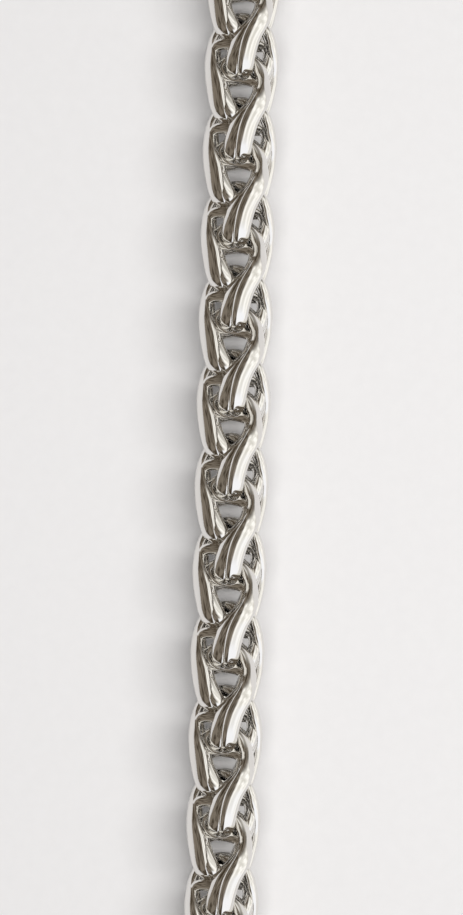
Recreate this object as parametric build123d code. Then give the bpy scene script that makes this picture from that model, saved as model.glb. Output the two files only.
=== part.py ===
"""Woven wheat-pattern neck chain, closed by a ring clasp and laid flat as a plain loop.

Every link is a ring of round wire, pinched at its waist and folded into a U. The fold is the
link's tip, and its two end loops stand above it, one in front and one behind. They take the tip
of the same-handed link above. Right-handed and left-handed links alternate down the chain.
All sizes are in millimetres. +Z is up, the chain lies on Z = 0, and the stretch that is seen
runs straight along +Y on the +X side of the loop.
"""
from build123d import *
import os
from math import acos, asin, cos, degrees, pi, radians, sin, sqrt

os.makedirs("parts", exist_ok=True)

# Driving sizes
wire_diameter = 0.91      # round wire of the links and of the three jump rings
link_gap = 0.11           # air left between one link and the next
link_pairs = 86           # pairs of a right-handed and a left-handed link
straight_length = 92.0    # straight stretch on each long side of the loop
bend_stretch = 1.03       # how far the links are drawn out round the bends
clasp_radius = 4.5        # centreline of the ring clasp
clasp_wire = 1.5          # section of the ring clasp
rest_angle = 30.0         # how far up the inside of a jump ring its neighbours lie, in degrees

# Sizes that follow
wire_radius = wire_diameter / 2
unit = wire_diameter + link_gap     # least distance between the centrelines of two links
pair_pitch = 6.66 * unit            # from one link to the next of the same hand
left_offset = 3.25 * unit           # a left-handed link stands this far above its partner
fold_seat = 0.95 * unit             # where a jump ring passes inside the last tip
loop_seat = 6.50 * unit             # where a jump ring passes through the last end loops

# Centreline of half a link, as shares of the unit: across to the right, along the chain from
# the tip, and up towards the viewer. The other half is the same, turned half round the chain.
right_link = [
    # across, along, up
    (0.45, -0.28, 0.14),      # tip
    (0.29, 0.61, 1.92),
    (1.07, 2.43, 2.46),       # front limb
    (1.87, 4.16, 1.56),
    (1.63, 6.15, 0.80),       # end loop
    (0.52, 7.57, 0.71),
    (-1.24, 7.27, 0.22),
    (-1.19, 5.87, 1.06),
    (0.94, 5.33, 1.50),       # waist, crossing over
    (1.03, 3.97, 2.82),
    (-0.05, 2.31, 2.74),      # second wire of the front limb
    (-0.62, 0.75, 1.63),
]
left_link = [
    # across, along, up
    (-0.38, -0.34, -0.28),    # tip
    (-1.60, 0.23, 0.90),
    (-2.19, 2.04, 0.37),      # side limb
    (-2.47, 3.91, -0.34),
    (-1.98, 5.89, -0.64),
    (-0.86, 7.36, 0.00),      # end loop
    (0.78, 7.05, 1.18),
    (0.02, 5.49, 1.30),
    (-1.90, 5.29, 0.70),      # waist, crossing over
    (-2.37, 3.66, 1.32),
    (-1.55, 2.10, 2.03),      # front limb
    (-0.76, 0.49, 1.49),
]


def whole_link(half):
    """Centreline points of a whole link, in millimetres, from the shares of its half."""
    turned = [(-across, along, -up) for across, along, up in half]
    return [Vector(*point) * unit for point in half + turned]


def two_arcs(start, start_way, end, end_way):
    """Two arcs that join two points and meet smoothly, each as (start, direction, end)."""
    chord = end - start
    ways = start_way + end_way
    spread = 1 - start_way.dot(end_way)
    if spread < 1e-9:
        reach = chord.dot(chord) / (4 * chord.dot(start_way))
    else:
        along = chord.dot(ways)
        reach = (sqrt(along * along + 2 * spread * chord.dot(chord)) - along) / (2 * spread)
    first = start + start_way * reach
    second = end - end_way * reach
    middle = (first + second) * 0.5
    return [(start, start_way, middle), (middle, (second - first).normalized(), end)]


def wire_ring(points):
    """A closed ring of round wire whose centreline is smooth arcs through the points."""
    count = len(points)
    guide = Edge.make_spline(points, periodic=True, parameters=[i / count for i in range(count + 1)])
    ways = [guide.tangent_at(i / count, position_mode=PositionMode.PARAMETER) for i in range(count)]
    arcs = []
    for i in range(count):
        after = (i + 1) % count
        arcs += two_arcs(points[i], ways[i], points[after], ways[after])
    side = Plane(origin=arcs[0][0], z_dir=arcs[0][1]).x_dir
    walls = []
    for start, way, end in arcs:
        chord = end - start
        half_turn = acos(min(1.0, way.dot(chord) / chord.length))
        normal = way.cross(chord).normalized()
        centre = start + normal.cross(way) * (chord.length / (2 * sin(half_turn)))
        section = Plane(origin=start, x_dir=side, z_dir=way) * Circle(wire_radius)
        span = revolve(section, axis=Axis(centre, normal), revolution_arc=degrees(2 * half_turn))
        walls += [face for face in span.faces() if face.geom_type != GeomType.PLANE]
        side = side.rotate(Axis((0, 0, 0), normal), degrees(2 * half_turn))
    return Solid(Shell(walls))


# The chain's own half width and half height, from one link of each hand
sample_right = wire_ring(whole_link(right_link)).bounding_box()
sample_left = wire_ring(whole_link(left_link)).bounding_box()
axis_height = max(sample_right.max.Z, sample_left.max.Z)
half_width = max(sample_right.max.X, sample_left.max.X)

# Jump rings, upright on the surface, with their centre at the chain's own axis
ring_radius = axis_height - wire_radius


def seat_in_ring(radius):
    """Offset and height of a wire of this radius that lies inside an upright jump ring."""
    reach = ring_radius - wire_radius - link_gap - radius
    return reach * sin(radians(rest_angle)), axis_height - reach * cos(radians(rest_angle))


wire_offset, wire_height = seat_in_ring(wire_radius)
clasp_offset, clasp_height = seat_in_ring(clasp_wire / 2)
tilt = asin((axis_height - wire_height) / (2 * ring_radius))
tilted_reach = 2 * ring_radius * cos(tilt)

# From the clasp's centre: the linking ring, the tilted ring's far side, the first tip's origin,
# and on the other side the end ring and the last link's origin
link_ring_at = clasp_radius + clasp_offset
tilted_at = link_ring_at + wire_offset
first_tip_at = tilted_at + tilted_reach - fold_seat
last_tip_at = link_ring_at + ring_radius + loop_seat
path_length = first_tip_at + link_pairs * pair_pitch + last_tip_at
loop_radius = (path_length - 2 * straight_length) * bend_stretch / (2 * pi)
centre_shift = (clasp_radius + clasp_wire / 2 - half_width) / 2


def on_loop(across, along, up):
    """A point of the laid chain. Along is measured from the middle of the seen stretch."""
    sign = 1 if along >= 0 else -1
    past = abs(along) - straight_length / 2
    turned = past * bend_stretch / loop_radius
    reach = loop_radius + across
    if past <= 0:
        x, y = reach, abs(along)
    elif turned <= pi:
        x, y = reach * cos(turned), straight_length / 2 + reach * sin(turned)
    else:
        x, y = -reach, straight_length / 2 - (past - pi * loop_radius / bend_stretch)
    return Vector(x + centre_shift, sign * y, axis_height + up)


def laid_link(half, along):
    """One link of the given half shape, with its tip's origin at this place on the loop."""
    return wire_ring([on_loop(p.X, p.Y + along, p.Z) for p in whole_link(half)])


# Chain
first_tip = first_tip_at - path_length / 2
links = []
for pair in range(link_pairs + 1):
    links.append(laid_link(right_link, first_tip + pair * pair_pitch))
    if pair < link_pairs:
        links.append(laid_link(left_link, first_tip + pair * pair_pitch + left_offset))
chain = Compound(links)

# Jump rings and clasp, in the middle of the far side, where the chain runs towards -Y
far_x = centre_shift - loop_radius
upright = Rot(0, 90, 0) * Torus(ring_radius, wire_radius)
end_ring = Pos(far_x, link_ring_at, axis_height) * upright
link_ring = Pos(far_x, -link_ring_at, axis_height) * upright
tilted_place = Pos(far_x, -tilted_at - tilted_reach / 2, (axis_height + wire_height) / 2)
tip_ring = tilted_place * Rot(-degrees(tilt), 0, 0) * Torus(ring_radius, wire_radius)
thumb_nub = Pos(clasp_radius + clasp_wire * 0.4, 0, 0) * Sphere(clasp_wire * 0.55)
clasp = Pos(far_x, 0, clasp_height) * (Torus(clasp_radius, clasp_wire / 2) + thumb_nub)

# One file for each node
nodes = {
    "chain": chain,
    "end_ring": end_ring,
    "link_ring": link_ring,
    "tip_ring": tip_ring,
    "clasp": clasp,
}
for name, shape in nodes.items():
    export_step(shape, f"parts/{name}.step")
print("unit", round(unit, 3), "pitch", round(pair_pitch, 3), "half width", round(half_width, 3),
      "axis height", round(axis_height, 3), "path", round(path_length, 1), "radius", round(loop_radius, 2),
      "shift", round(centre_shift, 3), "first tip", round(first_tip, 3))
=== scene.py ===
"""Woven wheat-pattern neck chain in polished steel, laid flat in a plain loop on pale paper.

The links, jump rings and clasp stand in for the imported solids, in metres and in the same frame:
+Z is up, the loop lies on Z = 0, and the seen stretch runs along +Y on the +X side.
"""

import logging
import math
from dataclasses import dataclass, field
from enum import Enum
from typing import Any, Callable, Sequence

import bpy
import numpy as np
from mathutils import Matrix, Vector


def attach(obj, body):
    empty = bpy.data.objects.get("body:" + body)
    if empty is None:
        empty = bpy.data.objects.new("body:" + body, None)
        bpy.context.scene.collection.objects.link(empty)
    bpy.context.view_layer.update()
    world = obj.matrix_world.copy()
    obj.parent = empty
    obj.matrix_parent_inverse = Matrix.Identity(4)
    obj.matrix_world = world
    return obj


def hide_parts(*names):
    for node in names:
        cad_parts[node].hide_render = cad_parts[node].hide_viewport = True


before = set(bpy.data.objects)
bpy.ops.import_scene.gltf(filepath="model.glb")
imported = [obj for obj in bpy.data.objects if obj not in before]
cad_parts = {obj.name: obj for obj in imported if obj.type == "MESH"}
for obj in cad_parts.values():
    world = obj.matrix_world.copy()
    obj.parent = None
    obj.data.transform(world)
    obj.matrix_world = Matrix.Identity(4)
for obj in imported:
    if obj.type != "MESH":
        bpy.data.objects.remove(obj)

log = logging.getLogger("wheat_chain")

Place = tuple[float, float, float]
Colour = tuple[float, float, float, float]
Station = tuple[float, float, float, float, float]

MM = 0.001
PHOTO_WIDTH = 463                       # pixels
PHOTO_HEIGHT = 915
SMOOTH_ANGLE = math.radians(40)         # faces that meet at less than this are shaded as one
HALF_TURN = (-1.0, 1.0, -1.0)           # turns a link's points half round the chain


class Hand(Enum):
    """The two hands of link that alternate down the chain."""

    RIGHT = "right"
    LEFT = "left"


class Detail(Enum):
    """How finely a link's wire is divided: its sides, and its stations from one point to the next."""

    SEEN = (24, 5)
    FAR = (12, 3)


class Stretch(Enum):
    """The lengths of chain that are joined into one piece each."""

    SEEN = "chain_seen"
    UPPER_BEND = "chain_upper_bend"
    LOWER_BEND = "chain_lower_bend"
    CLASP_SIDE = "chain_clasp_side"


# Shader maths


class Signal:
    """A node's output that adds Math nodes where Python's operators are used on it."""

    def __init__(self, board: "NodeBoard", socket: Any) -> None:
        """Wraps one output socket.

        Args:
            board: The node board that new Math nodes are added to.
            socket: The output socket that carries the value.
        """
        self.board = board
        self.socket = socket

    def _math(self, operation: str, first: Any, second: Any) -> "Signal":
        """Adds one Math node."""
        return self.board.add("ShaderNodeMath", {"operation": operation}, {0: first, 1: second})

    def __add__(self, other: Any) -> "Signal":
        """Sum."""
        return self._math("ADD", self, other)

    __radd__ = __add__

    def __sub__(self, other: Any) -> "Signal":
        """Difference."""
        return self._math("SUBTRACT", self, other)

    def __rsub__(self, other: Any) -> "Signal":
        """Difference, the other way round."""
        return self._math("SUBTRACT", other, self)

    def __mul__(self, other: Any) -> "Signal":
        """Product."""
        return self._math("MULTIPLY", self, other)

    __rmul__ = __mul__


@dataclass(frozen=True)
class Grain:
    """How fine and how rough a noise is."""

    scale: float
    detail: float
    roughness: float = 0.5


class NodeBoard:
    """One node tree, with a method that adds any node, and short cuts that call it."""

    MIX_FIRST = 6       # a Mix node's sockets for colours
    MIX_SECOND = 7
    MIX_RESULT = 2

    def __init__(self, tree: Any) -> None:
        """Clears the tree and keeps it.

        Args:
            tree: The node tree of a material or of the world.
        """
        self.tree = tree
        tree.nodes.clear()

    def add(self, kind: str, settings: dict[str, Any] | None = None,
            values: dict[Any, Any] | None = None, out: int | str = 0) -> Signal:
        """Adds a node, sets it up, and then fills its sockets.

        Args:
            kind: The node's type.
            settings: Attributes of the node.
            values: Values or signals of its input sockets, by index or name.
            out: The output that the returned signal carries.

        Returns:
            The signal of the chosen output, which is empty for a node with none.
        """
        node = self.tree.nodes.new(kind)
        for name, value in (settings or {}).items():
            setattr(node, name, value)
        for name, value in (values or {}).items():
            if isinstance(value, Signal):
                self.tree.links.new(value.socket, node.inputs[name])
            else:
                node.inputs[name].default_value = value
        return Signal(self, node.outputs[out] if len(node.outputs) else None)

    def noise(self, place: Signal, grain: Grain) -> Signal:
        """Adds a noise in three dimensions, from nought to one."""
        sockets = {"Vector": place, "Scale": grain.scale, "Detail": grain.detail,
                   "Roughness": grain.roughness}
        return self.add("ShaderNodeTexNoise", {"noise_dimensions": "3D"}, sockets, "Fac")

    def blend(self, share: Signal, first: Any, second: Any) -> Signal:
        """Mixes two colours, all of the first at nought and all of the second at one."""
        sockets = {"Factor": share, self.MIX_FIRST: first, self.MIX_SECOND: second}
        return self.add("ShaderNodeMix", {"data_type": "RGBA"}, sockets, self.MIX_RESULT)

    def rise(self, value: Signal, start: float, end: float) -> Signal:
        """Goes smoothly from nought at the start to one at the end."""
        sockets = {"Value": value, "From Min": start, "From Max": end}
        return self.add("ShaderNodeMapRange", {"interpolation_type": "SMOOTHSTEP"}, sockets)


def new_material(name: str) -> tuple[bpy.types.Material, NodeBoard]:
    """Adds an empty material.

    Args:
        name: Its name.

    Returns:
        The material and its node board.
    """
    material = bpy.data.materials.new(name)
    material.use_nodes = True
    return material, NodeBoard(material.node_tree)


# Finishes


@dataclass(frozen=True)
class PolishedSteel:
    """Mirror-polished white metal with the faint haze and hairlines that handling leaves."""

    name: str = "polished_steel"
    clean: Colour = (0.82, 0.81, 0.79, 1.0)
    warm: Colour = (0.77, 0.745, 0.71, 1.0)
    clouds: Grain = Grain(420.0, 2.0)
    specks: Grain = Grain(2600.0, 3.0, 0.6)
    roughness: float = 0.055
    haze: float = 0.05
    hairline_strength: float = 0.03
    hairline_depth: float = 0.02 * MM

    def make(self) -> bpy.types.Material:
        """Builds the material.

        Returns:
            The material, on Object coordinates.
        """
        material, board = new_material(self.name)
        place = board.add("ShaderNodeTexCoord", out="Object")
        cloud = board.noise(place, self.clouds)
        speck = board.noise(place, self.specks)
        hairlines = board.add("ShaderNodeBump", values={
            "Strength": self.hairline_strength, "Distance": self.hairline_depth, "Height": speck})
        shader = board.add("ShaderNodeBsdfPrincipled", values={
            "Base Color": board.blend(cloud, self.clean, self.warm), "Metallic": 1.0,
            "Roughness": self.roughness + self.haze * (cloud * speck), "Normal": hairlines})
        board.add("ShaderNodeOutputMaterial", values={"Surface": shader})
        return material


@dataclass(frozen=True)
class PalePaper:
    """Matt white paper with a faint grain."""

    name: str = "pale_paper"
    light: Colour = (0.83, 0.822, 0.818, 1.0)
    dark: Colour = (0.79, 0.782, 0.778, 1.0)
    fibres: Grain = Grain(900.0, 4.0, 0.6)
    roughness: float = 0.9
    gloss: float = 0.1

    def make(self) -> bpy.types.Material:
        """Builds the material.

        Returns:
            The material, on Object coordinates.
        """
        material, board = new_material(self.name)
        place = board.add("ShaderNodeTexCoord", out="Object")
        tone = board.blend(board.noise(place, self.fibres), self.dark, self.light)
        shader = board.add("ShaderNodeBsdfPrincipled", values={
            "Base Color": tone, "Roughness": self.roughness, "Specular IOR Level": self.gloss})
        board.add("ShaderNodeOutputMaterial", values={"Surface": shader})
        return material


# The laid loop


@dataclass
class LaidLoop:
    """Where the links and fittings lie round the loop: the solids' own sizes, in metres."""

    wire: float = 0.91 * MM                 # round wire of the solids and of the jump rings
    gap: float = 0.11 * MM                  # air between the solids' links
    pairs: int = 86                         # pairs of a right-handed and a left-handed link
    straight: float = 92.0 * MM             # straight stretch on each long side
    bend_stretch: float = 1.03              # how far the links are drawn out round the bends
    clasp_radius: float = 4.5 * MM          # centreline of the clasp
    clasp_wire: float = 1.5 * MM            # section of the clasp
    rest_angle: float = math.radians(30.0)  # how far up the inside of a jump ring a wire lies
    axis_height: float = 3.508 * MM         # height of the chain's own axis
    half_width: float = 2.979 * MM          # half the chain's width

    # Places along the chain, as shares of the unit, which is the wire and the gap together
    pitch_share: float = 6.66               # from one link to the next of the same hand
    left_share: float = 3.25                # from a right-handed tip up to a left-handed one
    fold_share: float = 0.95                # from the first tip up to the ring inside its fold
    end_share: float = 6.50                 # from the last tip up to the ring in its end loops

    def __post_init__(self) -> None:
        """Works out the places that follow from the sizes."""
        self.unit = self.wire + self.gap
        self.pitch = self.pitch_share * self.unit
        self.left_offset = self.left_share * self.unit
        self.ring_radius = self.axis_height - self.wire / 2
        self.wire_offset, self.wire_height = self.seat(self.wire / 2)
        self.clasp_offset, self.clasp_height = self.seat(self.clasp_wire / 2)
        self.tilt = math.asin((self.axis_height - self.wire_height) / (2 * self.ring_radius))
        self.tilted_reach = 2 * self.ring_radius * math.cos(self.tilt)
        self.link_ring_at = self.clasp_radius + self.clasp_offset
        self.tilted_at = self.link_ring_at + self.wire_offset
        first = self.tilted_at + self.tilted_reach - self.fold_share * self.unit
        last = self.link_ring_at + self.ring_radius + self.end_share * self.unit
        length = first + self.pairs * self.pitch + last
        self.first_tip = first - length / 2
        self.radius = (length - 2 * self.straight) * self.bend_stretch / (2 * math.pi)
        self.bend_length = math.pi * self.radius / self.bend_stretch
        self.shift = (self.clasp_radius + self.clasp_wire / 2 - self.half_width) / 2
        self.seen_x = self.shift + self.radius
        self.far_x = self.shift - self.radius

    def seat(self, radius: float) -> tuple[float, float]:
        """Where a wire lies inside an upright jump ring.

        Args:
            radius: The radius of the wire that lies in the ring.

        Returns:
            Its offset from the ring's centre along the chain, and its height.
        """
        reach = self.ring_radius - self.wire / 2 - self.gap - radius
        return reach * math.sin(self.rest_angle), self.axis_height - reach * math.cos(self.rest_angle)

    def lay(self, points: np.ndarray, along: float) -> np.ndarray:
        """Carries points from a straight link to their places on the loop.

        Args:
            points: Rows of across, along and up, from the link's own tip.
            along: The tip's place, measured from the middle of the seen stretch.

        Returns:
            The same points in the model's frame.
        """
        run = points[:, 1] + along
        past = np.abs(run) - self.straight / 2
        turned = np.clip(past * self.bend_stretch / self.radius, 0.0, math.pi)
        back = np.maximum(past - self.bend_length, 0.0)
        reach = self.radius + points[:, 0]
        x = reach * np.cos(turned)
        y = np.minimum(np.abs(run), self.straight / 2) + reach * np.sin(turned) - back
        return np.stack([x + self.shift, np.sign(run) * y, self.axis_height + points[:, 2]], axis=1)

    def stretch_at(self, along: float) -> Stretch:
        """Names the stretch that a link belongs to.

        Args:
            along: The tip's place, measured from the middle of the seen stretch.

        Returns:
            The stretch.
        """
        past = abs(along) - self.straight / 2
        if past <= 0:
            return Stretch.SEEN
        if past >= self.bend_length:
            return Stretch.CLASP_SIDE
        return Stretch.UPPER_BEND if along > 0 else Stretch.LOWER_BEND


# Modelling helpers


def alone(piece: bpy.types.Object) -> None:
    """Selects one object and nothing else, and makes it active."""
    bpy.ops.object.select_all(action="DESELECT")
    piece.select_set(True)
    bpy.context.view_layer.objects.active = piece


def join(pieces: Sequence[bpy.types.Object]) -> None:
    """Joins objects into the first of them, and leaves it active."""
    alone(pieces[0])
    for piece in pieces:
        piece.select_set(True)
    bpy.ops.object.join()


def dress(piece: bpy.types.Object, material: bpy.types.Material) -> None:
    """Gives an object one material and no other."""
    piece.data.materials.clear()
    piece.data.materials.append(material)


def pick_faces(piece: bpy.types.Object, wanted: Callable[[Vector], bool]) -> None:
    """Selects, in edit mode, the faces whose centres pass a test.

    Args:
        piece: The object in edit mode.
        wanted: Says whether a face with this centre is selected.
    """
    bpy.ops.object.mode_set(mode="OBJECT")
    for polygon in piece.data.polygons:
        polygon.select = wanted(polygon.center)
    for edge in piece.data.edges:
        edge.select = False
    bpy.ops.object.mode_set(mode="EDIT")
    bpy.ops.mesh.select_mode(type="FACE")


def cut_across(planes: Sequence[float]) -> None:
    """Cuts an edge loop through the mesh in edit mode at each of these places on its Y axis."""
    for y in planes:
        bpy.ops.mesh.select_all(action="SELECT")
        bpy.ops.mesh.bisect(plane_co=(0, y, 0), plane_no=(0, 1, 0))


# The chain


# Half of a link of each hand. A row is a point of the wire's centreline, across, along and up, as
# shares of the loop's unit, then the way that the wire's flattened face looks, in degrees right of
# straight up, and the wire's half width there, in millimetres.
HALF_LINKS: dict[Hand, list[Station]] = {
    Hand.RIGHT: [
        (0.45, -0.45, 0.14, 73, 0.56),       # tip
        (0.26, 0.06, 1.80, 20, 0.70),
        (0.73, 2.43, 2.60, 26, 0.76),        # outer wire of the limb
        (1.58, 4.16, 2.56, 28, 0.74),
        (1.68, 6.02, 1.20, 45, 0.60),
        (0.52, 7.57, 0.71, 40, 0.48),        # end loop
        (-1.24, 7.27, 0.22, -60, 0.48),
        (-1.14, 6.10, 0.66, -45, 0.44),
        (1.12, 5.62, 0.78, -35, 0.44),       # waist, crossing over
        (1.00, 3.97, 1.52, -44, 0.62),
        (-0.16, 2.31, 1.87, -48, 0.74),      # inner wire of the limb
        (-0.70, 0.02, 1.48, -42, 0.76),
    ],
    Hand.LEFT: [
        (-0.38, -0.50, -0.28, -126, 0.56),   # tip
        (-1.46, -0.16, 1.04, -34, 0.80),
        (-2.06, 2.04, 1.22, -50, 0.94),      # outer wire of the limb
        (-2.40, 3.91, 0.66, -62, 0.84),
        (-2.14, 5.89, -0.50, -76, 0.60),
        (-0.86, 7.36, 0.00, -90, 0.48),      # end loop
        (0.78, 7.05, 1.18, 0, 0.48),
        (0.02, 5.49, 1.30, 0, 0.46),
        (-1.90, 5.29, 0.55, -30, 0.48),      # waist, crossing over
        (-2.00, 3.66, -0.10, 0, 0.50),
        (-1.50, 2.10, 0.80, 50, 0.56),       # inner wire of the limb
        (-0.72, 0.05, 1.42, 30, 0.62),
    ],
}


@dataclass
class WovenChain:
    """The folded wire links, as they lie round the loop."""

    loop: LaidLoop
    half_depth: float = 0.46 * MM               # half the wire's thickness, from face to face
    squareness: float = 2.2                     # two is an ellipse, and more is squarer
    spine: tuple[float, float] = (1.6, 6.0)     # ends of the line that faces look away from, in units
    halves: dict[Hand, list[Station]] = field(default_factory=lambda: HALF_LINKS)

    def centreline(self, hand: Hand) -> tuple[np.ndarray, np.ndarray]:
        """Fits the smoothest closed line of cubic curves through a link's points.

        Args:
            hand: Which hand of link.

        Returns:
            The points, and at each the handle that leads on to the next curve.
        """
        half = np.array(self.halves[hand], float)[:, :3]
        points = np.vstack([half, half * HALF_TURN]) * self.loop.unit
        middle = np.eye(len(points))
        neighbours = np.roll(middle, 1, axis=0) + np.roll(middle, -1, axis=0)
        steps = 3.0 * (np.roll(points, -1, axis=0) - np.roll(points, 1, axis=0))
        return points, np.linalg.solve(4.0 * middle + neighbours, steps) / 3.0

    def follow(self, hand: Hand, divisions: int) -> tuple[np.ndarray, np.ndarray]:
        """Follows a link's centreline.

        Args:
            hand: Which hand of link.
            divisions: The number of stations from one point to the next.

        Returns:
            The stations, and the wire's direction at each.
        """
        points, handles = self.centreline(hand)
        after = np.roll(points, -1, axis=0)
        after_handles = np.roll(handles, -1, axis=0)
        start, leave, arrive, end = (
            rows[:, None, :] for rows in (points, points + handles, after - after_handles, after))
        share = (np.arange(divisions) / divisions)[None, :, None]
        rest = 1 - share
        stations = (rest ** 3 * start + 3 * rest ** 2 * share * leave
                    + 3 * rest * share ** 2 * arrive + share ** 3 * end)
        ways = (rest ** 2 * (leave - start) + 2 * rest * share * (arrive - leave)
                + share ** 2 * (end - arrive))
        ways = ways.reshape(-1, 3)
        return stations.reshape(-1, 3), ways / np.linalg.norm(ways, axis=1)[:, None]

    @staticmethod
    def ease(values: np.ndarray, divisions: int) -> np.ndarray:
        """Goes smoothly from each value of a row to the next.

        Args:
            values: The values at a link's points, the first repeated at the end.
            divisions: The number of stations from one point to the next.

        Returns:
            The value at each station.
        """
        share = (np.arange(divisions) / divisions)[None, :]
        eased = share * share * (3 - 2 * share)
        return (values[:-1, None] * (1 - eased) + values[1:, None] * eased).ravel()

    def faces(self, hand: Hand, divisions: int) -> tuple[np.ndarray, np.ndarray]:
        """Works out how the wire's flattened face lies at each station of a link.

        Args:
            hand: Which hand of link.
            divisions: The number of stations from one point to the next.

        Returns:
            The way that the face looks, in radians right of straight up, and its half width.
        """
        *_, facing, half_width = np.array(self.halves[hand], float).T
        facing = np.unwrap(np.radians(np.concatenate([facing, facing + 180, facing[:1]])))
        half_width = np.concatenate([half_width, half_width, half_width[:1]]) * MM
        return self.ease(facing, divisions), self.ease(half_width, divisions)

    def square_up(self, wave: np.ndarray) -> np.ndarray:
        """Broadens the crests of a round section's wave, which flattens the wire's faces."""
        return np.sign(wave) * np.abs(wave) ** (2 / self.squareness)

    def skin(self, hand: Hand, detail: Detail) -> np.ndarray:
        """Works out the surface of one straight link.

        Args:
            hand: Which hand of link.
            detail: How finely its wire is divided.

        Returns:
            Its points, one row of a section's points for each station.
        """
        sides, divisions = detail.value
        stations, ways = self.follow(hand, divisions)
        facing, half_width = self.faces(hand, divisions)
        low, high = self.spine[0] * self.loop.unit, self.spine[1] * self.loop.unit
        past_spine = stations[:, 1] - np.clip(stations[:, 1], low, high)
        lift = np.hypot(stations[:, 0], stations[:, 2])
        outward = np.stack([lift * np.sin(facing), past_spine, lift * np.cos(facing)], axis=1)
        outward -= (outward * ways).sum(axis=1)[:, None] * ways
        outward /= np.linalg.norm(outward, axis=1)[:, None]
        sideways = np.cross(ways, outward)
        turn = np.arange(sides) / sides * 2 * math.pi
        wide = half_width[:, None] * self.square_up(np.cos(turn))[None, :]
        deep = self.half_depth * self.square_up(np.sin(turn))
        return (stations[:, None, :] + sideways[:, None, :] * wide[:, :, None]
                + outward[:, None, :] * deep[None, :, None])

    def model_link(self, hand: Hand, detail: Detail) -> bpy.types.Object:
        """Models one straight link: a ring of wire whose outward face is rolled nearly flat.

        Args:
            hand: Which hand of link.
            detail: How finely its wire is divided.

        Returns:
            The link's mesh object, with its tip's origin at the world's origin.
        """
        skin = self.skin(hand, detail)
        bpy.ops.object.select_all(action="DESELECT")
        bpy.ops.mesh.primitive_torus_add(
            major_segments=skin.shape[0], minor_segments=skin.shape[1],
            major_radius=self.loop.half_width, minor_radius=self.half_depth)
        link = bpy.context.object
        link.data.vertices.foreach_set("co", skin.astype(np.float32).ravel())
        link.data.update()
        alone(link)
        bpy.ops.object.mode_set(mode="EDIT")
        bpy.ops.mesh.select_all(action="SELECT")
        bpy.ops.mesh.normals_make_consistent(inside=False)
        bpy.ops.object.mode_set(mode="OBJECT")
        bpy.ops.object.shade_smooth()
        return link

    def copy_link(self, model: bpy.types.Object, tip: float) -> bpy.types.Object:
        """Copies a straight link, with a mesh of its own, to its place on the loop.

        Args:
            model: The straight link.
            tip: The copy's tip, measured from the middle of the seen stretch.

        Returns:
            The copy.
        """
        mesh = model.data.copy()
        flat = np.empty(len(mesh.vertices) * 3, np.float32)
        mesh.vertices.foreach_get("co", flat)
        laid = self.loop.lay(flat.reshape(-1, 3).astype(float), tip)
        mesh.vertices.foreach_set("co", laid.astype(np.float32).ravel())
        mesh.update()
        copy = bpy.data.objects.new("link", mesh)
        bpy.context.scene.collection.objects.link(copy)
        return copy

    def tips(self) -> list[tuple[Hand, float]]:
        """Lists the links.

        Returns:
            Each link's hand and its tip's place, measured from the middle of the seen stretch.
        """
        right = [self.loop.first_tip + pair * self.loop.pitch for pair in range(self.loop.pairs + 1)]
        left = [tip + self.loop.left_offset for tip in right[:-1]]
        return [(Hand.RIGHT, tip) for tip in right] + [(Hand.LEFT, tip) for tip in left]

    def lay_links(self, stretch: Stretch) -> bpy.types.Object:
        """Lays the links of one stretch and joins them.

        Args:
            stretch: The stretch to make.

        Returns:
            The joined piece.
        """
        detail = Detail.SEEN if stretch is Stretch.SEEN else Detail.FAR
        models = {hand: self.model_link(hand, detail) for hand in Hand}
        copies = [self.copy_link(models[hand], tip) for hand, tip in self.tips()
                  if self.loop.stretch_at(tip) is stretch]
        for model in models.values():
            bpy.data.objects.remove(model)
        join(copies)
        copies[0].name = stretch.value
        return copies[0]

    def build(self, material: bpy.types.Material) -> list[bpy.types.Object]:
        """Builds every stretch and hands it to the frame.

        Args:
            material: The links' finish.

        Returns:
            The pieces.
        """
        pieces = [self.lay_links(stretch) for stretch in Stretch]
        for piece in pieces:
            dress(piece, material)
            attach(piece, "root")
            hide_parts("chain")
        return pieces


# Jump rings and clasp


@dataclass
class JumpRing:
    """A plain ring of round wire, with the fine closed cut where it was opened."""

    loop: LaidLoop
    name: str
    node: str
    centre: Place
    turn: Matrix                                # from lying flat
    segments: tuple[int, int] = (72, 20)        # round the ring, and round its wire
    cut_width: float = 0.05 * MM
    cut_depth: float = 0.06 * MM

    def build(self, material: bpy.types.Material) -> bpy.types.Object:
        """Models the ring and hands it to the frame.

        Args:
            material: The ring's finish.

        Returns:
            The piece.
        """
        bpy.ops.object.select_all(action="DESELECT")
        bpy.ops.mesh.primitive_torus_add(
            major_radius=self.loop.ring_radius, minor_radius=self.loop.wire / 2,
            major_segments=self.segments[0], minor_segments=self.segments[1])
        ring = bpy.context.object
        ring.name = self.name
        self.mark_cut(ring)
        bpy.ops.object.shade_smooth_by_angle(angle=SMOOTH_ANGLE)
        ring.data.transform(Matrix.Translation(self.centre) @ self.turn)
        dress(ring, material)
        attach(ring, "root")
        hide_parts(self.node)
        return ring

    def mark_cut(self, ring: bpy.types.Object) -> None:
        """Sinks a fine groove round the wire where the ring's two ends meet.

        Args:
            ring: The ring, lying flat about the world's origin.
        """
        half = self.cut_width / 2
        lip = self.cut_width / 6
        bpy.ops.object.mode_set(mode="EDIT")
        cut_across((-half, half))
        pick_faces(ring, lambda c: c.x > 0 and abs(c.y) < half)
        bpy.ops.mesh.inset(thickness=lip, depth=-self.cut_depth)
        bpy.ops.object.mode_set(mode="OBJECT")


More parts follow.
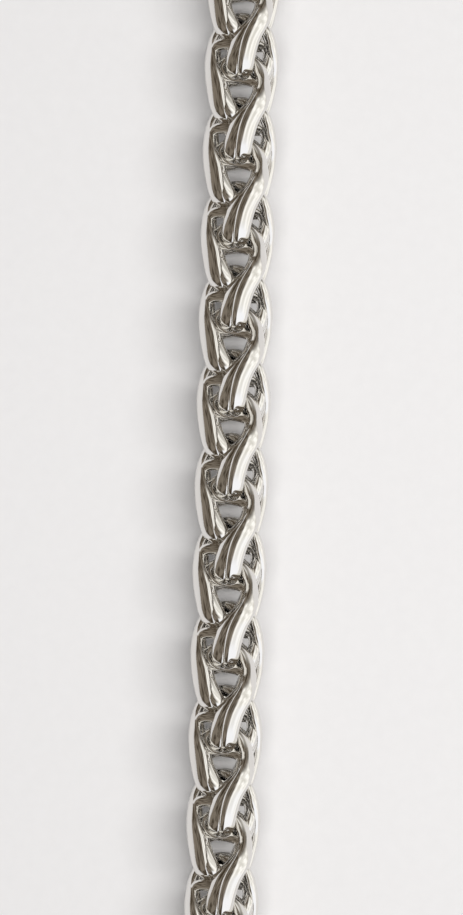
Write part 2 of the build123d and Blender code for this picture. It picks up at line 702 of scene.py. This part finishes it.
def jump_rings(loop: LaidLoop) -> list[JumpRing]:
    """Lists the rings that tie the clasp to the chain's two ends.

    Args:
        loop: Where everything lies.

    Returns:
        The rings, not yet built.
    """
    upright = Matrix.Rotation(math.pi / 2, 4, "Y")
    tilted = Matrix.Rotation(-loop.tilt, 4, "X")
    tilted_y = -loop.tilted_at - loop.tilted_reach / 2
    tilted_z = (loop.axis_height + loop.wire_height) / 2
    return [
        JumpRing(loop, "end_jump_ring", "end_ring",
                 (loop.far_x, loop.link_ring_at, loop.axis_height), upright),
        JumpRing(loop, "linking_jump_ring", "link_ring",
                 (loop.far_x, -loop.link_ring_at, loop.axis_height), upright),
        JumpRing(loop, "tip_jump_ring", "tip_ring", (loop.far_x, tilted_y, tilted_z), tilted),
    ]


@dataclass
class RingClasp:
    """The ring clasp: a stout ring with two collars, a slot along its outside, and a thumb nub."""

    loop: LaidLoop
    segments: tuple[int, int] = (96, 24)        # round the ring, and round its section
    collar_start: float = 1.0 * MM              # from the point across from the nub, on each side
    collar_width: float = 0.9 * MM
    collar_depth: float = 0.10 * MM             # how far the ring is thinned to leave room for them
    collar_rise: float = 0.09 * MM
    collar_lip: float = 0.03 * MM
    slot_start: float = 0.2                     # as a share of the clasp's radius, towards the nub
    slot_half_height: float = 0.12              # as a share of the clasp's section
    slot_depth: float = 0.08 * MM
    slot_lip: float = 0.04 * MM
    nub_segments: tuple[int, int] = (32, 20)
    nub_stand: float = 0.4                      # beyond the clasp's centreline, and the nub's radius,
    nub_radius: float = 0.55                    # as shares of the clasp's section
    nub_edge: float = 0.8                       # the turned edge's place, lip and dish,
    nub_lip: float = 0.06                       # as shares of the nub's radius
    nub_dish: float = 0.03

    def build(self, material: bpy.types.Material) -> bpy.types.Object:
        """Models the clasp and hands it to the frame.

        Args:
            material: The clasp's finish.

        Returns:
            The piece.
        """
        clasp = self.model_ring()
        clasp.name = "ring_clasp"
        join([clasp, self.model_nub()])
        bpy.ops.object.shade_smooth_by_angle(angle=SMOOTH_ANGLE)
        clasp.data.transform(Matrix.Translation((self.loop.far_x, 0.0, self.loop.clasp_height)))
        dress(clasp, material)
        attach(clasp, "root")
        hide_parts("clasp")
        return clasp

    def model_ring(self) -> bpy.types.Object:
        """Models the ring with its collars and slot, lying flat about the world's origin.

        Returns:
            The ring's mesh object.
        """
        radius, section = self.loop.clasp_radius, self.loop.clasp_wire
        start, end = self.collar_start, self.collar_start + self.collar_width
        bpy.ops.object.select_all(action="DESELECT")
        bpy.ops.mesh.primitive_torus_add(
            major_radius=radius, minor_radius=section / 2 - self.collar_depth,
            major_segments=self.segments[0], minor_segments=self.segments[1])
        ring = bpy.context.object
        bpy.ops.object.mode_set(mode="EDIT")
        cut_across((-start, -end, start, end))
        pick_faces(ring, lambda c: c.x < 0 and start < abs(c.y) < end)
        bpy.ops.mesh.inset(thickness=self.collar_lip, depth=self.collar_rise)
        pick_faces(ring, lambda c: c.x > radius * self.slot_start
                   and abs(c.z) < section * self.slot_half_height and math.hypot(c.x, c.y) > radius)
        bpy.ops.mesh.inset(thickness=self.slot_lip, depth=-self.slot_depth)
        bpy.ops.object.mode_set(mode="OBJECT")
        return ring

    def model_nub(self) -> bpy.types.Object:
        """Models the thumb nub, a round button with a turned edge, at its place on the ring.

        Returns:
            The nub's mesh object.
        """
        radius = self.loop.clasp_wire * self.nub_radius
        reach = self.loop.clasp_radius + self.loop.clasp_wire * self.nub_stand
        edge = radius * self.nub_edge
        bpy.ops.object.select_all(action="DESELECT")
        bpy.ops.mesh.primitive_uv_sphere_add(
            radius=radius, segments=self.nub_segments[0], ring_count=self.nub_segments[1])
        nub = bpy.context.object
        bpy.ops.object.mode_set(mode="EDIT")
        bpy.ops.mesh.select_all(action="SELECT")
        bpy.ops.mesh.bisect(plane_co=(0, 0, edge), plane_no=(0, 0, 1))
        pick_faces(nub, lambda c: c.z > edge)
        bpy.ops.mesh.inset(thickness=radius * self.nub_lip, depth=-radius * self.nub_dish)
        bpy.ops.object.mode_set(mode="OBJECT")
        nub.data.transform(Matrix.Translation((reach, 0, 0)) @ Matrix.Rotation(math.pi / 2, 4, "Y"))
        return nub


# The studio


@dataclass
class Studio:
    """Pale paper, a soft light overhead and to the right, a room to mirror, and a long lens."""

    loop: LaidLoop

    # Camera
    pixel: float = 0.08095 * MM                     # what a pixel spans at the height of the chain's axis
    lean: float = math.radians(1.39)                # the chain leans this far in the picture
    axis_at: tuple[float, float] = (232.19, 457.5)  # a pixel that the chain's axis passes through
    tip_pair: int = 44                              # the right-handed link whose tip is matched,
    tip_row: float = 406.0                          # and the row where that tip lies
    distance: float = 0.42                          # from the chain's axis
    sensor: float = 36.0                            # millimetres
    clip: tuple[float, float] = (0.01, 10.0)

    # Paper, softbox and even fill
    paper_side: float = 2.4
    softbox_at: Place = (0.095, 0.0, 0.34)          # from the middle of the seen stretch
    softbox_size: tuple[float, float] = (0.07, 0.5)
    softbox_power: float = 1.40                     # watts
    softbox_colour: tuple[float, float, float] = (1.0, 0.992, 0.990)
    fill_colour: Colour = (0.22, 0.218, 0.219, 1.0)

    # What the metal mirrors. A pair of numbers says where a form starts and where it is whole, as a
    # part of the mirrored ray's direction, or for clutter as a level of its noise
    clutter: Grain = Grain(2.4, 2.0)
    dark_colour: Colour = (0.055, 0.042, 0.028, 1.0)
    room_colour: Colour = (0.24, 0.205, 0.165, 1.0)
    room_clutter: tuple[float, float] = (0.38, 0.62)
    dim_wall_colour: Colour = (0.86, 0.84, 0.78, 1.0)
    wall_colour: Colour = (1.28, 1.27, 1.23, 1.0)
    wall_clutter: tuple[float, float] = (0.35, 0.65)
    wall_edge: tuple[float, float] = (-0.05, 0.22)
    wall_top: tuple[float, float] = (0.45, 0.9)
    pane_colour: Colour = (1.15, 1.17, 1.22, 1.0)
    pane_edge: tuple[float, float] = (0.45, 0.7)
    pane_side: tuple[float, float] = (0.03, 0.13)
    pane_sill: tuple[float, float] = (0.0, 0.2)

    def place_camera(self) -> None:
        """Looks straight down at the seen stretch, turned so that the chain leans as it should."""
        data = bpy.data.cameras.new("long_lens")
        data.sensor_width = self.sensor
        data.lens = self.sensor * self.distance / (PHOTO_HEIGHT * self.pixel)
        data.clip_start, data.clip_end = self.clip
        camera = bpy.data.objects.new("camera", data)
        bpy.context.scene.collection.objects.link(camera)
        tip = self.loop.first_tip + self.tip_pair * self.loop.pitch
        drop = (self.axis_at[1] - self.tip_row) * self.pixel / math.cos(self.lean)
        sideways = (self.axis_at[0] - PHOTO_WIDTH / 2) * self.pixel / math.cos(self.lean)
        camera.location = (self.loop.seen_x - sideways, tip - drop,
                           self.loop.axis_height + self.distance)
        camera.rotation_euler = (0.0, 0.0, self.lean)
        bpy.context.scene.camera = camera

    def lay_paper(self) -> None:
        """Adds the pale floor under the chain."""
        bpy.ops.object.select_all(action="DESELECT")
        bpy.ops.mesh.primitive_plane_add(size=self.paper_side)
        paper = bpy.context.object
        paper.name = "paper"
        dress(paper, PalePaper().make())

    def hang_softbox(self) -> None:
        """Adds the rectangular soft light, which lights the paper and isn't mirrored."""
        data = bpy.data.lights.new("right_softbox", "AREA")
        data.shape = "RECTANGLE"
        data.size, data.size_y = self.softbox_size
        data.energy = self.softbox_power
        data.color = self.softbox_colour
        light = bpy.data.objects.new("right_softbox", data)
        bpy.context.scene.collection.objects.link(light)
        right, along, up = self.softbox_at
        place = Vector((self.loop.seen_x + right, along, up))
        light.location = place
        light.rotation_mode = "QUATERNION"
        light.rotation_quaternion = (Vector((self.loop.seen_x, 0, 0)) - place).to_track_quat("-Z", "Y")
        light.visible_camera = False
        light.visible_glossy = False

    def fill_room(self) -> None:
        """Sets the world: an even fill for the paper, and for mirror rays a room round the chain.

        The room is dim and cluttered, with a bright wall to the right and a pale pane that stands
        towards the bottom of the picture.
        """
        world = bpy.data.worlds.new("room")
        bpy.context.scene.world = world
        world.use_nodes = True
        board = NodeBoard(world.node_tree)
        way = board.add("ShaderNodeTexCoord", out="Generated")
        right, up_picture, height = (
            board.add("ShaderNodeSeparateXYZ", values={"Vector": way}, out=axis) for axis in "XYZ")
        clutter = board.noise(way, self.clutter)
        wall = board.rise(right, *self.wall_edge) * (1.0 - board.rise(up_picture, *self.wall_top))
        pane = (board.rise(0.0 - up_picture, *self.pane_edge)
                * (1.0 - board.rise(0.0 - right, *self.pane_side))
                * board.rise(height, *self.pane_sill))
        room = board.blend(board.rise(clutter, *self.room_clutter), self.dark_colour, self.room_colour)
        bright = board.blend(board.rise(clutter, *self.wall_clutter), self.dim_wall_colour, self.wall_colour)
        mirrored = board.blend(pane, board.blend(wall, room, bright), self.pane_colour)
        is_mirror_ray = board.add("ShaderNodeLightPath", out="Is Glossy Ray")
        sky = board.add("ShaderNodeBackground", values={
            "Color": board.blend(is_mirror_ray, self.fill_colour, mirrored)})
        board.add("ShaderNodeOutputWorld", values={"Surface": sky})

    def build(self) -> None:
        """Sets up the camera, floor, room and light."""
        self.place_camera()
        self.lay_paper()
        self.fill_room()
        self.hang_softbox()
        bpy.context.scene.view_settings.view_transform = "Standard"


def main() -> None:
    """Builds the chain, its fittings and the studio, and reports each piece."""
    logging.basicConfig(level=logging.INFO, format="%(name)s %(message)s")
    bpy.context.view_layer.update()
    loop = LaidLoop()
    steel = PolishedSteel().make()
    pieces = WovenChain(loop).build(steel)
    pieces += [ring.build(steel) for ring in jump_rings(loop)]
    pieces.append(RingClasp(loop).build(PolishedSteel(name="polished_clasp").make()))
    for piece in pieces:
        log.info("%s: %d faces", piece.name, len(piece.data.polygons))
    Studio(loop).build()


if __name__ == "__main__":
    main()
